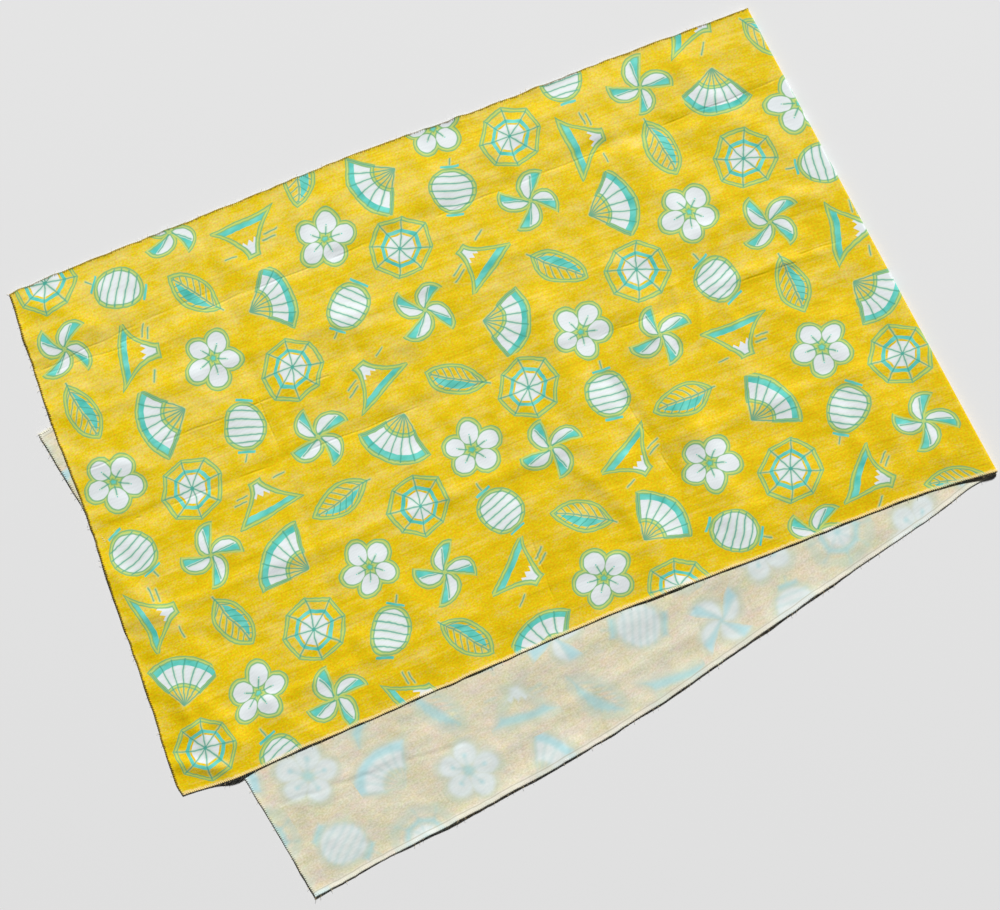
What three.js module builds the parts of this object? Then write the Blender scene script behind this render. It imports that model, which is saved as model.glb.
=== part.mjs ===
import * as THREE from 'three';

// A tenugui: one length of thin printed cotton, folded across its middle and laid on a table. Its upper
// half lies print up on its lower half, which is turned a little and shows its reverse at two sides.
// Millimetres. X runs along the cloth from its free ends to the fold, Y across it, Z up from the table.

// Driving dimensions
const wall = 1.0; // each layer of cloth
const clearance = 0.3; // between the layers, and between one stretch of cloth and the next
const bendReach = 3.6; // how far the rounded fold stands out past the two layers
const foldTurn = THREE.MathUtils.degToRad(7.05); // the fold's slant from square across the cloth
const foldSoftness = 17; // how far from the fold the upper layer is still held up by it
const ledge = 13; // the upper layer stays level this far past the lower layer's edge
const drop = 20; // and comes down to the table over this length
const restSwell = 0.35; // the least waviness of the upper layer
const mouthShift = 1.4; // at its near end the fold's lower side reaches this much further than its upper side

// Cells along the cloth, across it and round the fold
const cells = { upperAlong: 52, upperAcross: 32, lowerAlong: 30, lowerAcross: 18, foldRound: 9 };

// Edges, each from the free end to the fold, or from the near selvedge to the far one
const upperNearSelvedge = [
  { x: -266.0, y: -119.8 },
  { x: -228.2, y: -121.6 },
  { x: -183.0, y: -119.2 },
  { x: -145.0, y: -118.2 },
  { x: -102.0, y: -116.2 },
  { x: -21.0, y: -112.8 },
  { x: 34.0, y: -111.4 },
  { x: 122.0, y: -112.2 },
  { x: 172.0, y: -111.8 },
  { x: 223.0, y: -112.2 },
];
const upperFarSelvedge = [
  { x: -253.6, y: 203.4 },
  { x: -232.0, y: 204.5 },
  { x: -193.0, y: 205.0 },
  { x: -102.0, y: 205.5 },
  { x: -25.0, y: 206.7 },
  { x: 51.0, y: 204.5 },
  { x: 142.0, y: 204.0 },
];
const upperFreeEnd = [
  { x: -266.0, y: -119.8 },
  { x: -267.1, y: -103.8 },
  { x: -264.0, y: -58.1 },
  { x: -261.7, y: 4.6 },
  { x: -258.4, y: 63.5 },
  { x: -258.0, y: 125.2 },
  { x: -253.6, y: 203.4 },
];
const lowerNearSelvedge = [
  { x: -212.9, y: -207.1 },
  { x: -163.3, y: -200.4 },
  { x: -113.8, y: -194.9 },
  { x: -72.4, y: -189.8 },
  { x: -42.0, y: -185.7 },
  { x: -10.0, y: -180.4 },
  { x: 32.6, y: -171.9 },
  { x: 76.0, y: -161.4 },
  { x: 142.0, y: -145.6 },
  { x: 218.8, y: -128.0 },
  { x: 248.0, y: -119.6 },
];
const lowerFarSelvedge = [
  { x: -267.8, y: 117.5 },
  { x: -20.0, y: 160.6 },
];
const lowerFreeEnd = [
  { x: -212.9, y: -207.1 },
  { x: -267.8, y: 117.5 },
];
// The fold's outermost line, from the near selvedges to the far ones, with its height over the table
const foldLine = [
  { x: 268.2, y: -115.0, height: 5.0 },
  { x: 264.9, y: -90.0, height: 4.3 },
  { x: 260.0, y: -50.0, height: 3.9 },
  { x: 247.4, y: 52.0, height: 3.6 },
  { x: 229.0, y: 202.3, height: 3.1 },
];

// The largest folds of the upper layer: each is a soft ridge, or a trough where its rise is below 0,
// along a straight stretch, with its half width and how far it rises
const upperFolds = [
  { x1: -262, y1: 152, x2: 234, y2: 152, width: 8, rise: 1.1 }, // pressed crease near the far selvedge
  { x1: -264, y1: 48, x2: 120, y2: 48, width: 9, rise: 1.2 }, // pressed crease along the middle
  { x1: 134, y1: 55, x2: 242, y2: 44, width: 9, rise: 3.0 }, // where it stands up towards the fold
  { x1: -131, y1: 196, x2: -138, y2: -112, width: 9, rise: 1.1 }, // pressed crease across the cloth
  { x1: -5, y1: 92, x2: -12, y2: -108, width: 9, rise: 1.3 }, // the next one across
  { x1: 64, y1: 66, x2: 84, y2: -84, width: 11, rise: 2.4 }, // slack ridge across the middle
  { x1: 128, y1: 150, x2: 150, y2: 90, width: 13, rise: 1.2 },
  { x1: 232, y1: 26, x2: 250, y2: -70, width: 10, rise: -1.6 }, // trough beside the fold
  { x1: 205, y1: -10, x2: 222, y2: -96, width: 13, rise: 1.6 },
  { x1: -256, y1: 22, x2: -232, y2: -20, width: 11, rise: 1.5 }, // two puckers from the free end
  { x1: -258, y1: -52, x2: -226, y2: -92, width: 11, rise: 2.2 },
  { x1: -206, y1: -92, x2: -214, y2: -122, width: 13, rise: 3.2 }, // near selvedge, lifted at the corner
  { x1: -80, y1: 118, x2: -40, y2: 96, width: 14, rise: 0.9 },
  { x1: 20, y1: -60, x2: 44, y2: -106, width: 13, rise: 1.1 },
  { x1: 160, y1: -70, x2: 172, y2: -110, width: 14, rise: 1.0 },
];
// Those of the lower layer, whose underside stays flat on the table
const lowerFolds = [
  { x1: -222, y1: -196, x2: -196, y2: -176, width: 16, rise: 0.9 },
  { x1: -120, y1: -196, x2: -104, y2: -160, width: 15, rise: 0.8 },
  { x1: -8, y1: -176, x2: -2, y2: -142, width: 14, rise: 1.0 },
  { x1: 104, y1: -156, x2: 96, y2: -128, width: 13, rise: 0.7 },
  { x1: -266, y1: 110, x2: -256, y2: 84, width: 10, rise: 0.6 },
];

// Curves through the tables
const foldOut = new THREE.Vector2(Math.cos(foldTurn), Math.sin(foldTurn)); // square to the fold, outwards
const foldCurve = new THREE.CatmullRomCurve3(
  foldLine.map((row) => new THREE.Vector3(row.x, row.y, row.height)),
);
const seamInset = bendReach + clearance;

function foldPoint(across, lowerSide) {
  const point = foldCurve.getPointAt(across);
  if (lowerSide) point.y -= mouthShift * Math.pow(1 - across, 12);
  return point;
}

function seamPoint(across, lowerSide) {
  const point = foldPoint(across, lowerSide);
  return new THREE.Vector2(point.x, point.y).addScaledVector(foldOut, -seamInset);
}

function edgeCurve(rows, end) {
  const points = rows.map((row) => new THREE.Vector2(row.x, row.y));
  if (end) points.push(end);
  return new THREE.SplineCurve(points);
}

// A panel between four edges: across 0 is the near selvedge and 1 the far one
function panelOutline(near, far, freeEnd, lowerSide) {
  const corners = [seamPoint(0, lowerSide), seamPoint(1, lowerSide)];
  const edges = {
    near: edgeCurve(near, corners[0]),
    far: edgeCurve(far, corners[1]),
    free: edgeCurve(freeEnd),
  };
  return (along, across) => {
    const nearPoint = edges.near.getPointAt(along);
    const farPoint = edges.far.getPointAt(along);
    const freePoint = edges.free.getPointAt(across);
    const seam = seamPoint(across, lowerSide);
    const nearCorners = edges.near.getPoint(0).lerp(corners[0], along);
    const farCorners = edges.far.getPoint(0).lerp(corners[1], along);
    return nearPoint
      .multiplyScalar(1 - across)
      .addScaledVector(farPoint, across)
      .addScaledVector(freePoint, 1 - along)
      .addScaledVector(seam, along)
      .sub(nearCorners.lerp(farCorners, across));
  };
}

const upperOutline = panelOutline(upperNearSelvedge, upperFarSelvedge, upperFreeEnd, false);
const lowerOutline = panelOutline(lowerNearSelvedge, lowerFarSelvedge, lowerFreeEnd, true);

// How far the folds of a table raise the cloth at x, y
function raised(folds, x, y) {
  let sum = 0;
  for (const fold of folds) {
    const dx = fold.x2 - fold.x1;
    const dy = fold.y2 - fold.y1;
    const reach = ((x - fold.x1) * dx + (y - fold.y1) * dy) / (dx * dx + dy * dy);
    const share = THREE.MathUtils.clamp(reach, 0, 1);
    const away = Math.hypot(x - fold.x1 - share * dx, y - fold.y1 - share * dy);
    sum += fold.rise * Math.exp(-Math.pow(away / fold.width, 2));
  }
  return sum;
}

// How far a point lies outside the lower layer, past its free end or its far selvedge
function outsideLower(x, y) {
  const past = (from, to) => {
    const side = new THREE.Vector2(to.x - from.x, to.y - from.y).normalize();
    return (x - from.x) * -side.y + (y - from.y) * side.x;
  };
  const farEnd = seamPoint(1, true);
  const pastFree = past(lowerFreeEnd[0], lowerFreeEnd[1]);
  const pastFar = past(lowerFarSelvedge[0], farEnd);
  return Math.hypot(Math.max(pastFree, 0), Math.max(pastFar, 0));
}

function lowerTop(x, y) {
  return wall + raised(lowerFolds, x, y);
}

function upperUnderside(along, across) {
  const { x, y } = upperOutline(along, across);
  const onLower = 1 - THREE.MathUtils.smoothstep(outsideLower(x, y), ledge, ledge + drop);
  const bed = onLower * (lowerTop(x, y) + clearance);
  const wave = restSwell + raised(upperFolds, x, y);
  const lift = (wave + Math.hypot(wave, restSwell)) / 2;
  const fold = foldCurve.getPointAt(across);
  const seam = seamPoint(across, false);
  const fromFold = Math.hypot(seam.x - x, seam.y - y);
  const held = Math.exp(-Math.pow(fromFold / foldSoftness, 2));
  return THREE.MathUtils.lerp(bed + lift, fold.z - wall, held);
}

// A closed solid between two grids of points that share their outline
function closedPanel(columns, rows, topPoint, underPoint) {
  const positions = [];
  const faces = [];
  const index = (side, i, j) => side * (columns + 1) * (rows + 1) + j * (columns + 1) + i;
  for (const pointAt of [topPoint, underPoint]) {
    for (let j = 0; j <= rows; j += 1) {
      for (let i = 0; i <= columns; i += 1) positions.push(...pointAt(i / columns, j / rows));
    }
  }
  const addQuad = (a, b, c, d) => faces.push(a, b, c, a, c, d);
  for (let j = 0; j < rows; j += 1) {
    for (let i = 0; i < columns; i += 1) {
      addQuad(index(0, i, j), index(0, i + 1, j), index(0, i + 1, j + 1), index(0, i, j + 1));
      addQuad(index(1, i, j), index(1, i, j + 1), index(1, i + 1, j + 1), index(1, i + 1, j));
    }
  }
  for (let i = 0; i < columns; i += 1) {
    addQuad(index(1, i, 0), index(1, i + 1, 0), index(0, i + 1, 0), index(0, i, 0));
    addQuad(index(0, i, rows), index(0, i + 1, rows), index(1, i + 1, rows), index(1, i, rows));
  }
  for (let j = 0; j < rows; j += 1) {
    addQuad(index(0, 0, j), index(0, 0, j + 1), index(1, 0, j + 1), index(1, 0, j));
    addQuad(index(1, columns, j), index(1, columns, j + 1), index(0, columns, j + 1), index(0, columns, j));
  }
  const geometry = new THREE.BufferGeometry();
  geometry.setAttribute('position', new THREE.Float32BufferAttribute(positions, 3));
  geometry.setIndex(faces);
  geometry.computeVertexNormals();
  return geometry;
}

function cotton(colour) {
  return new THREE.MeshStandardMaterial({ color: colour, roughness: 0.9, metalness: 0 });
}

function upperLayer() {
  const pointAt = (lift) => (along, across) => {
    const { x, y } = upperOutline(along, across);
    return [x, y, upperUnderside(along, across) + lift];
  };
  const shape = closedPanel(cells.upperAlong, cells.upperAcross, pointAt(wall), pointAt(0));
  const mesh = new THREE.Mesh(shape, cotton('#e2bb20'));
  mesh.name = 'upper_layer';
  return mesh;
}

function lowerLayer() {
  const pointAt = (onTop) => (along, across) => {
    const { x, y } = lowerOutline(along, across);
    return [x, y, onTop ? lowerTop(x, y) : 0];
  };
  const shape = closedPanel(cells.lowerAlong, cells.lowerAcross, pointAt(true), pointAt(false));
  const mesh = new THREE.Mesh(shape, cotton('#e2d9c0'));
  mesh.name = 'lower_layer';
  return mesh;
}

// The cloth's turn from the upper half to the lower one, a half round in section
function foldBend() {
  const pointAt = (inset) => (along, across) => {
    const turn = Math.PI * (1 - along);
    const upperPoint = foldPoint(across, false);
    const lowerPoint = foldPoint(across, true);
    const height = upperPoint.z;
    const out = (bendReach - inset) * Math.sin(turn) - bendReach;
    const share = (1 - Math.cos(turn)) / 2;
    const x = upperPoint.x + out * foldOut.x;
    const y = THREE.MathUtils.lerp(upperPoint.y, lowerPoint.y, share) + out * foldOut.y;
    return [x, y, inset + (height - 2 * inset) * (1 - share)];
  };
  const shape = closedPanel(cells.foldRound, cells.upperAcross, pointAt(wall), pointAt(0));
  const mesh = new THREE.Mesh(shape, cotton('#d9b11c'));
  mesh.name = 'fold_bend';
  return mesh;
}

const tenugui = new THREE.Group();
tenugui.add(upperLayer(), foldBend(), lowerLayer());

export default tenugui;
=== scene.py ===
import math
from functools import partial

import bpy
import numpy as np
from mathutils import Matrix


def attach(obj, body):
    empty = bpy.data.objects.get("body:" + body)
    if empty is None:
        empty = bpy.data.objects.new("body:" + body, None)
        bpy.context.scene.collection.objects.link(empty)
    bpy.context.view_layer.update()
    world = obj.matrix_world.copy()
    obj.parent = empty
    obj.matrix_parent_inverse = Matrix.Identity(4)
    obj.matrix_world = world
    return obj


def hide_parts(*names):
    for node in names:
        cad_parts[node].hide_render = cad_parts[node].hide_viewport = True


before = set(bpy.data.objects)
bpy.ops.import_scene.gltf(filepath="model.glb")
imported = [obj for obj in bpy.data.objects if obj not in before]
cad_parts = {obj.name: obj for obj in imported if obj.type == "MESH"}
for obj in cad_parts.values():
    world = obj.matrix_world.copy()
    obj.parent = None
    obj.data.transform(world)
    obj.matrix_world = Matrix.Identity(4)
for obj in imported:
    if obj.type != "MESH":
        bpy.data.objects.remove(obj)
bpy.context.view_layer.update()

# A tenugui: a metre of thin printed cotton, folded across its middle and laid flat.
# Tables and dictionaries are in millimetres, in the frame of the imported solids, and meshes in metres.
mm = 0.001


def linear(hexCode):
    parts = [int(hexCode[i : i + 2], 16) / 255 for i in (1, 3, 5)]
    return (*(c / 12.92 if c <= 0.04045 else ((c + 0.055) / 1.055) ** 2.4 for c in parts), 1.0)


def addNode(tree, kind, *inputs, at=None, output=0, **settings):
    node = tree.nodes.new(kind if "Node" in kind else "ShaderNode" + kind)
    for name, value in settings.items():
        setattr(node, name, value)
    for key, value in [*enumerate(inputs), *(at or {}).items()]:
        if isinstance(value, bpy.types.NodeSocket):
            tree.links.new(value, node.inputs[key])
        elif value is not None:
            node.inputs[key].default_value = value
    return node.outputs[output] if node.outputs else node


# The cloth and how it lies
cloth = {
    "width": 330.0,  # between the selvedges
    "length": 1000.0,  # between the two free ends
    "thickness": 0.42,
    "lip": 0.12,  # how far the four edges stand up, as a tight roll
    "lipWidth": 1.9,
    "gap": 0.2,  # air between the layers
    "edgeLoft": 0.12,  # how far the upper layer stands off what it lies on, at its edges and inside them
    "loft": 1.0,
    "loftSpan": 22.0,
    "hemLift": 0.16,  # the overcast thread holds the lower layer's edges off the table
    "hemLiftSpan": (2, 5),
    "settling": {"upper": 0.3, "lower": 0.1},  # how softly troughs flatten on what is under them
    "bendShare": 0.5,  # how far the fold stands out past the two layers, for its height
    "foldTurn": 7.05,  # degrees that the fold slants from square across
    "foldSoftness": 17.0,  # how far from the fold the upper layer is held up by it
    "mouthShift": 1.4,  # the fold's lower side reaches this much further at its near end
    "mouthPower": 12,  # and how fast that fades across the cloth
    "ledge": 5.0,  # the upper layer comes down to the table from here
    "drop": 16.0,
    "cells": {"upper": 236, "round": 14, "lower": 160, "across": 164},
    "edgeRows": (0.0, 0.5, 1.0, 1.5, 2.1, 3.2),  # extra rows that shape the rolled edges
}

# Edges as x, y, from the free end to the fold or from the near selvedge to the far one
edges = {
    "upperNear": [(-266, -119.8), (-228.2, -121.6), (-183, -119.2), (-145, -118.2), (-102, -116.2),
                  (-21, -112.8), (34, -111.4), (122, -112.2), (172, -111.8), (223, -112.2)],
    "upperFar": [(-253.6, 203.4), (-232, 204.5), (-193, 205), (-102, 205.5), (-25, 206.7), (51, 204.5),
                 (142, 204)],
    "upperFree": [(-266, -119.8), (-267.1, -103.8), (-264, -58.1), (-261.7, 4.6), (-258.4, 63.5),
                  (-258, 125.2), (-253.6, 203.4)],
    "lowerNear": [(-212.9, -207.1), (-163.3, -200.4), (-113.8, -194.9), (-72.4, -189.8), (-42, -185.7),
                  (-10, -180.4), (32.6, -171.9), (76, -161.4), (142, -145.6), (218.8, -128), (248, -119.6)],
    "lowerFar": [(-267.8, 117.5), (-20, 160.6)],
    "lowerFree": [(-212.9, -207.1), (-267.8, 117.5)],
}
# The fold's outermost line as x, y and height over the table
foldLine = [(268.2, -115.4, 4.1), (264.9, -90, 3.8), (260, -50, 3.4), (247.4, 52, 3.0), (229, 202.3, 2.6)]

# Folds of the upper layer: x and y of both ends, sideways bow, half width, rise
upperFolds = [
    (-262, 152, -60, 153, 0, 4, -0.4),  # pressed crease near the far selvedge
    (-60, 153, 120, 157, 0, 5, -0.45),
    (110, 157, 234, 152, 1, 5, -0.75),
    (-264, 48, 128, 49, -1, 5, -0.5),  # pressed crease along the middle
    (150, 52.5, 200, 50.5, 0, 4.4, 0.75),  # where it stands up towards the fold
    (196, 49, 243, 45.4, 0, 4.2, 0.8),
    (-131, 196, -138, -112, 0, 5, -0.5),  # pressed crease across the cloth
    (-6, 92, -12, -108, 1, 6, -0.55),  # the next one across
    (46, 74, 60, -96, 3, 17, 1.9),  # slack swells either side of a trough
    (100, 60, 108, -84, -2, 16, 1.7),
    (68, 22, 85, -50, -2, 5, -1.1),
    (85, -50, 67, -102, -2, 5, -0.9),
    (128, 150, 150, 90, 4, 13, 1.1),
    (228, 20, 246, -66, 2, 9, -0.9),  # beside the fold
    (205, -10, 218, -82, -3, 13, 1.1),
    (-252, 154, -140, 161, 0, 4, -0.3),  # a second crease runs out of the pressed one
    (-256, 176, -226, 168, 2, 9, 0.9),  # wedge at the free end above it
    (-256, 22, -232, -20, 3, 10, 1.4),  # puckers from the free end
    (-258, -52, -234, -80, -3, 10, 0.9),
    (-222, -106, -231, -124, 0, 10, 2.4),  # near selvedge, lifted at the corner
    (-261, -99, -236, -113, 1, 4.5, 1.5),  # and bent down across the corner
    (-80, 118, -40, 96, 2, 14, 0.9),
    (20, -60, 44, -106, 2, 13, 0.8),
    (160, -66, 169, -94, 0, 14, 0.9),
]
# Finer ones that the solids leave out
upperCreases = [
    (-240, 118, 60, 116, 1, 5, 0.55),
    (-200, 89, -20, 88, 0, 5, 0.45),
    (90, 86, 236, 82, -2, 6, 0.6),
    (-262, -10, 40, -6, 1, 5, 0.6),
    (60, -26, 250, -30, -2, 6, 0.7),
    (-262, -84, -60, -80, 2, 5, 0.65),
    (-40, -80, 180, -84, -1, 5, 0.5),
    (-70, 200, -74, 60, 1, 5, 0.5),
    (118, 62, 104, 38, 2, 3.5, 1.3),  # fan of small wrinkles where the middle ridge starts
    (126, 60, 118, 30, -1, 3, 1.1),
    (138, 50, 132, 24, 1, 3, 0.9),
    (150, 44, 160, 16, 2, 4, 0.7),
    (176, 190, 190, 160, 2, 7, 0.9),
    (200, 140, 224, 108, -2, 7, 0.8),
    (212, 88, 236, 76, 0, 6, 0.9),
    (150, 176, 176, 120, 3, 9, -0.5),
    (40, 190, 70, 160, 2, 8, 0.6),
    (-40, 176, -10, 150, -2, 8, 0.6),
    (-130, 180, -100, 158, 2, 8, 0.6),
    (-236, 190, -214, 168, 1, 7, 0.8),
    (-250, 92, -216, 74, -2, 7, 0.9),
    (-200, 20, -160, 0, 2, 8, 0.7),
    (-236, -20, -196, -48, 2, 7, -0.6),
    (-246, -62, -240, -92, 2, 5, 0.8),  # puckers above the near corner
    (-232, -72, -222, -100, -2, 6, 0.7),
    (-196, -84, -176, -114, 2, 6, 0.8),
    (-160, -60, -120, -80, -3, 9, 0.7),
    (-104, -30, -84, -70, 2, 8, 0.7),
    (-60, 20, -34, -20, 3, 9, 0.6),
    (16, 30, 40, -10, 2, 8, 0.7),
    (30, -20, 52, -70, -2, 6, 0.8),
    (96, 10, 120, -50, 3, 9, 0.8),
    (108, -60, 127, -98, -2, 8, 0.7),
    (140, 10, 176, -40, 2, 9, 0.7),
    (190, -40, 203, -92, 1, 6, 0.8),
    (232, -60, 243, -96, 1, 6, 0.8),
    (170, 30, 214, 6, 2, 7, 0.6),
]
# Folds of the lower layer, where its reverse shows
lowerFolds = [
    (-222, -196, -196, -176, 0, 14, 0.9),
    (-120, -196, -104, -160, 3, 13, 0.9),
    (-8, -176, -2, -142, 2, 12, 1.0),
    (104, -156, 96, -128, 2, 11, 0.8),
    (-266, 110, -256, 84, 0, 10, 0.6),
    (-200, -150, -90, -134, 2, 6, 0.5),
    (-80, -166, 60, -140, -2, 5, 0.45),
    (-176, -190, -160, -150, 2, 7, 0.6),
    (-60, -184, -44, -150, 2, 7, 0.6),
    (40, -160, 60, -126, -2, 7, 0.6),
    (150, -138, 190, -122, 1, 7, 0.6),
    (-206, -190, -186, -130, -3, 5, 0.5),
    (-40, -124, 112, -106, 2, 14, 1.2),  # swell that comes out from under the upper layer
    (-212, -146, -94, -152, 1, 4, -0.4),  # pressed crease
    (-150, -200, -30, -178, 2, 7, 0.8),  # near selvedge, off the table in two stretches
    (20, -172, 150, -144, -2, 8, 0.9),
    (-205, -208, -180, -204, 0, 6, 0.5),
]
ripples = {
    "height": 0.17,
    "lowerShare": 0.5,  # of that height, on the lower layer
    "lowerShift": (90, -40),
    "waves": 14,
    "shortest": 16.0,
    "longest": 60.0,
    "seed": 11,
}
frill = {  # how the edges waver, in plan and in height
    "side": 0.16,
    "rise": 0.25,
    "reach": 12.0,
    "calm": 40,  # none this close to the fold
    "waves": 10,
    "shortest": 9.0,
    "longest": 48.0,
    "seed": {"upper": 21, "lower": 31},
}


def smoothLine(rows, places):
    # Curve through the rows, read at even shares of its length
    points = np.array(rows, float)
    padded = np.vstack([2 * points[0] - points[1], points, 2 * points[-1] - points[-2]])
    dense = []
    for k in range(len(points) - 1):
        a, b, c, d = padded[k : k + 4]
        t = np.linspace(0, 1, 60, endpoint=False)[:, None]
        dense.append(0.5 * (2 * b + (c - a) * t + (2 * a - 5 * b + 4 * c - d) * t**2
                            + (3 * b - a - 3 * c + d) * t**3))
    dense = np.vstack([*dense, points[-1:]])
    length = np.concatenate([[0], np.cumsum(np.linalg.norm(np.diff(dense[:, :2], axis=0), axis=1))])
    return np.stack([np.interp(places * length[-1], length, column) for column in dense.T], axis=1)


def betweenEdges(near, far, free, seam, along, across):
    # A sheet stretched between four edges
    u, v = along[:, None, None], across[None, :, None]
    corners = (1 - u) * ((1 - v) * near[0] + v * far[0]) + u * ((1 - v) * near[-1] + v * far[-1])
    return (1 - v) * near[:, None] + v * far[:, None] + (1 - u) * free[None] + u * seam[None] - corners


def raised(folds, x, y):
    total = np.zeros_like(x)
    steeper = 0.7  # one flank's width, as a share of the other's
    for x1, y1, x2, y2, bow, width, rise in folds:
        dx, dy = x2 - x1, y2 - y1
        length = math.hypot(dx, dy)
        reach = ((x - x1) * dx + (y - y1) * dy) / length**2
        share = np.clip(reach, 0, 1)
        side = ((x - x1) * dy - (y - y1) * dx) / length - bow * 4 * share * (1 - share)
        lean = np.where(side > 0, width, steeper * width)
        total += rise * np.exp(-((side / lean) ** 2) - ((reach - share) * length / width) ** 2)
    return total


def rippled(x, y):
    # Faint unevenness of washed and pressed cloth
    chance = np.random.default_rng(ripples["seed"])
    total = np.zeros_like(x)
    for _ in range(ripples["waves"]):
        span = chance.uniform(ripples["shortest"], ripples["longest"])
        turn, phase = chance.uniform(0, math.pi), chance.uniform(0, 2 * math.pi)
        total += np.sin((x * math.cos(turn) + y * math.sin(turn)) * 2 * math.pi / span + phase)
    return ripples["height"] * total / math.sqrt(ripples["waves"] / 2)


def stepDown(distance, start, span):
    t = np.clip((distance - start) / span, 0, 1)
    return 1 - t * t * (3 - 2 * t)


def wavering(distance, seed):
    chance = np.random.default_rng(seed)
    total = np.zeros_like(distance)
    for _ in range(frill["waves"]):
        span = chance.uniform(frill["shortest"], frill["longest"])
        total += np.sin(distance * 2 * math.pi / span + chance.uniform(0, 2 * math.pi))
    return total / math.sqrt(frill["waves"] / 2)


def frilled(name, sheet, along, across):
    # The sheet with unsteady edges, and how much each point rises by them
    u, v = np.broadcast_arrays(along[:, None] * cloth["length"] / 2, across[None] * cloth["width"])
    nearFold = np.clip((cloth["length"] / 2 - u) / frill["calm"], 0, 1)
    seed = frill["seed"][name]
    near, far, free = (
        wavering(way, seed + k) * stepDown(distance, 0, frill["reach"]) * share
        for k, (way, distance, share) in enumerate(
            ((u, v, nearFold), (u, cloth["width"] - v, nearFold), (v, u, 1.0)))
    )
    sheet = sheet + frill["side"] * np.dstack([free, near + far])
    return sheet, frill["rise"] * sum(np.maximum(wave, 0) for wave in (near, far, free))


def clothSurface():
    # Points of the printed side, column by column from the upper free end round the fold to the lower one
    c, cells = cloth, cloth["cells"]
    rows = np.array(c["edgeRows"]) / c["width"]
    middle = np.linspace(rows[-1], 1 - rows[-1], cells["across"])
    across = np.concatenate([rows[:-1], middle, 1 - rows[-2::-1]])
    turn = math.radians(c["foldTurn"])
    foldOut = np.array([math.cos(turn), math.sin(turn)])
    fold = smoothLine(foldLine, across)
    upperFold, foldHeight = fold[:, :2], fold[:, 2]
    lowerFold = upperFold - np.outer(c["mouthShift"] * (1 - across) ** c["mouthPower"], (0, 1))
    bendReach = c["bendShare"] * foldHeight[:, None]
    seams = [side - bendReach * foldOut for side in (upperFold, lowerFold)]

    def layer(name, seam, count):
        hem = np.array(c["edgeRows"]) / (c["length"] / 2)
        along = np.concatenate([hem[:-1], np.linspace(hem[-1], 1, count)])
        near = smoothLine([*edges[name + "Near"], seam[0]], along)
        far = smoothLine([*edges[name + "Far"], seam[-1]], along)
        free = smoothLine(edges[name + "Free"], across)
        return frilled(name, betweenEdges(near, far, free, seam, along, across), along, across)

    upper, upperFrill = layer("upper", seams[0], cells["upper"])
    lower, lowerFrill = layer("lower", seams[1], cells["lower"])

    def settled(name, rise):
        return (rise + np.hypot(rise, c["settling"][name])) / 2

    def fromEdges(sheet):
        # From the selvedges and the free end
        selvedge = np.minimum(across, 1 - across)[None] * c["width"]
        return np.minimum(selvedge, np.linalg.norm(sheet - sheet[:1], axis=2))

    def heldByFold(sheet, seam):
        return np.exp(-((np.linalg.norm(seam[None] - sheet, axis=2) / c["foldSoftness"]) ** 2))

    def lowerLift(x, y, frillRise=0.0):
        shiftX, shiftY = ripples["lowerShift"]
        faint = ripples["lowerShare"] * rippled(x + shiftX, y + shiftY)
        return settled("lower", raised(lowerFolds, x, y) + faint + frillRise)

    def past(x, y, a, b):
        dx, dy = np.subtract(b, a) / math.dist(a, b)
        return np.maximum((y - a[1]) * dx - (x - a[0]) * dy, 0)

    x, y = upper[..., 0], upper[..., 1]
    outside = np.hypot(past(x, y, *edges["lowerFree"]), past(x, y, edges["lowerFar"][0], seams[1][-1]))
    bed = stepDown(outside, c["ledge"], c["drop"]) * (lowerLift(x, y) + c["thickness"] + c["gap"])
    wave = c["loft"] + (c["edgeLoft"] - c["loft"]) * stepDown(fromEdges(upper), 0, c["loftSpan"])
    wave = wave + raised(upperFolds + upperCreases, x, y) + rippled(x, y) + upperFrill
    held = heldByFold(upper, seams[0])
    top = (bed + settled("upper", wave) + c["thickness"]) * (1 - held) + foldHeight[None] * held
    upper = np.dstack([upper, top])

    # Half round from the upper seam to the lower one
    turns = np.linspace(0, math.pi, cells["round"] + 2)[1:-1]
    share = (1 - np.cos(turns))[:, None] / 2
    out = bendReach[None] * np.sin(turns)[:, None, None] * foldOut
    bendXY = seams[0][None] * (1 - share)[..., None] + seams[1][None] * share[..., None] + out
    bend = np.dstack([bendXY, foldHeight[None] * (1 - share)])

    x, y = lower[..., 0], lower[..., 1]
    raisedEdge = c["hemLift"] * stepDown(fromEdges(lower), *c["hemLiftSpan"])
    lowerTop = lowerLift(x, y, lowerFrill) * (1 - heldByFold(lower, seams[1])) + raisedEdge
    surface = np.concatenate([upper, bend, np.dstack([lower, lowerTop])[::-1]])
    return surface, across, len(upper) + len(bend)


def outwardNormals(surface):
    alongWay, acrossWay = np.gradient(surface, axis=0), np.gradient(surface, axis=1)
    normals = np.cross(alongWay, acrossWay)
    return normals / np.linalg.norm(normals, axis=2, keepdims=True)


surface, across, halfWay = clothSurface()
normals = outwardNormals(surface)
steps = np.linalg.norm(np.diff(surface, axis=0), axis=2)
flatAlong = np.concatenate([np.zeros((1, surface.shape[1])), np.cumsum(steps, axis=0)])
flatAlong *= cloth["length"] / flatAlong[-1]
flatAcross = np.broadcast_to(across * cloth["width"], flatAlong.shape)
fromEdge = np.minimum(
    np.minimum(flatAlong, cloth["length"] - flatAlong), np.minimum(flatAcross, cloth["width"] - flatAcross)
)
wall = cloth["thickness"] + cloth["lip"] * stepDown(fromEdge, 0.5 * cloth["lipWidth"], cloth["lipWidth"])
lyingDown = np.where(normals[..., 2] < 0, 0.0, wall - cloth["thickness"])
surface = surface + normals * lyingDown[..., None]
reverse = surface - normals * wall[..., None]
print("cloth surface:", surface.shape[0], "x", surface.shape[1], "points")


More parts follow.
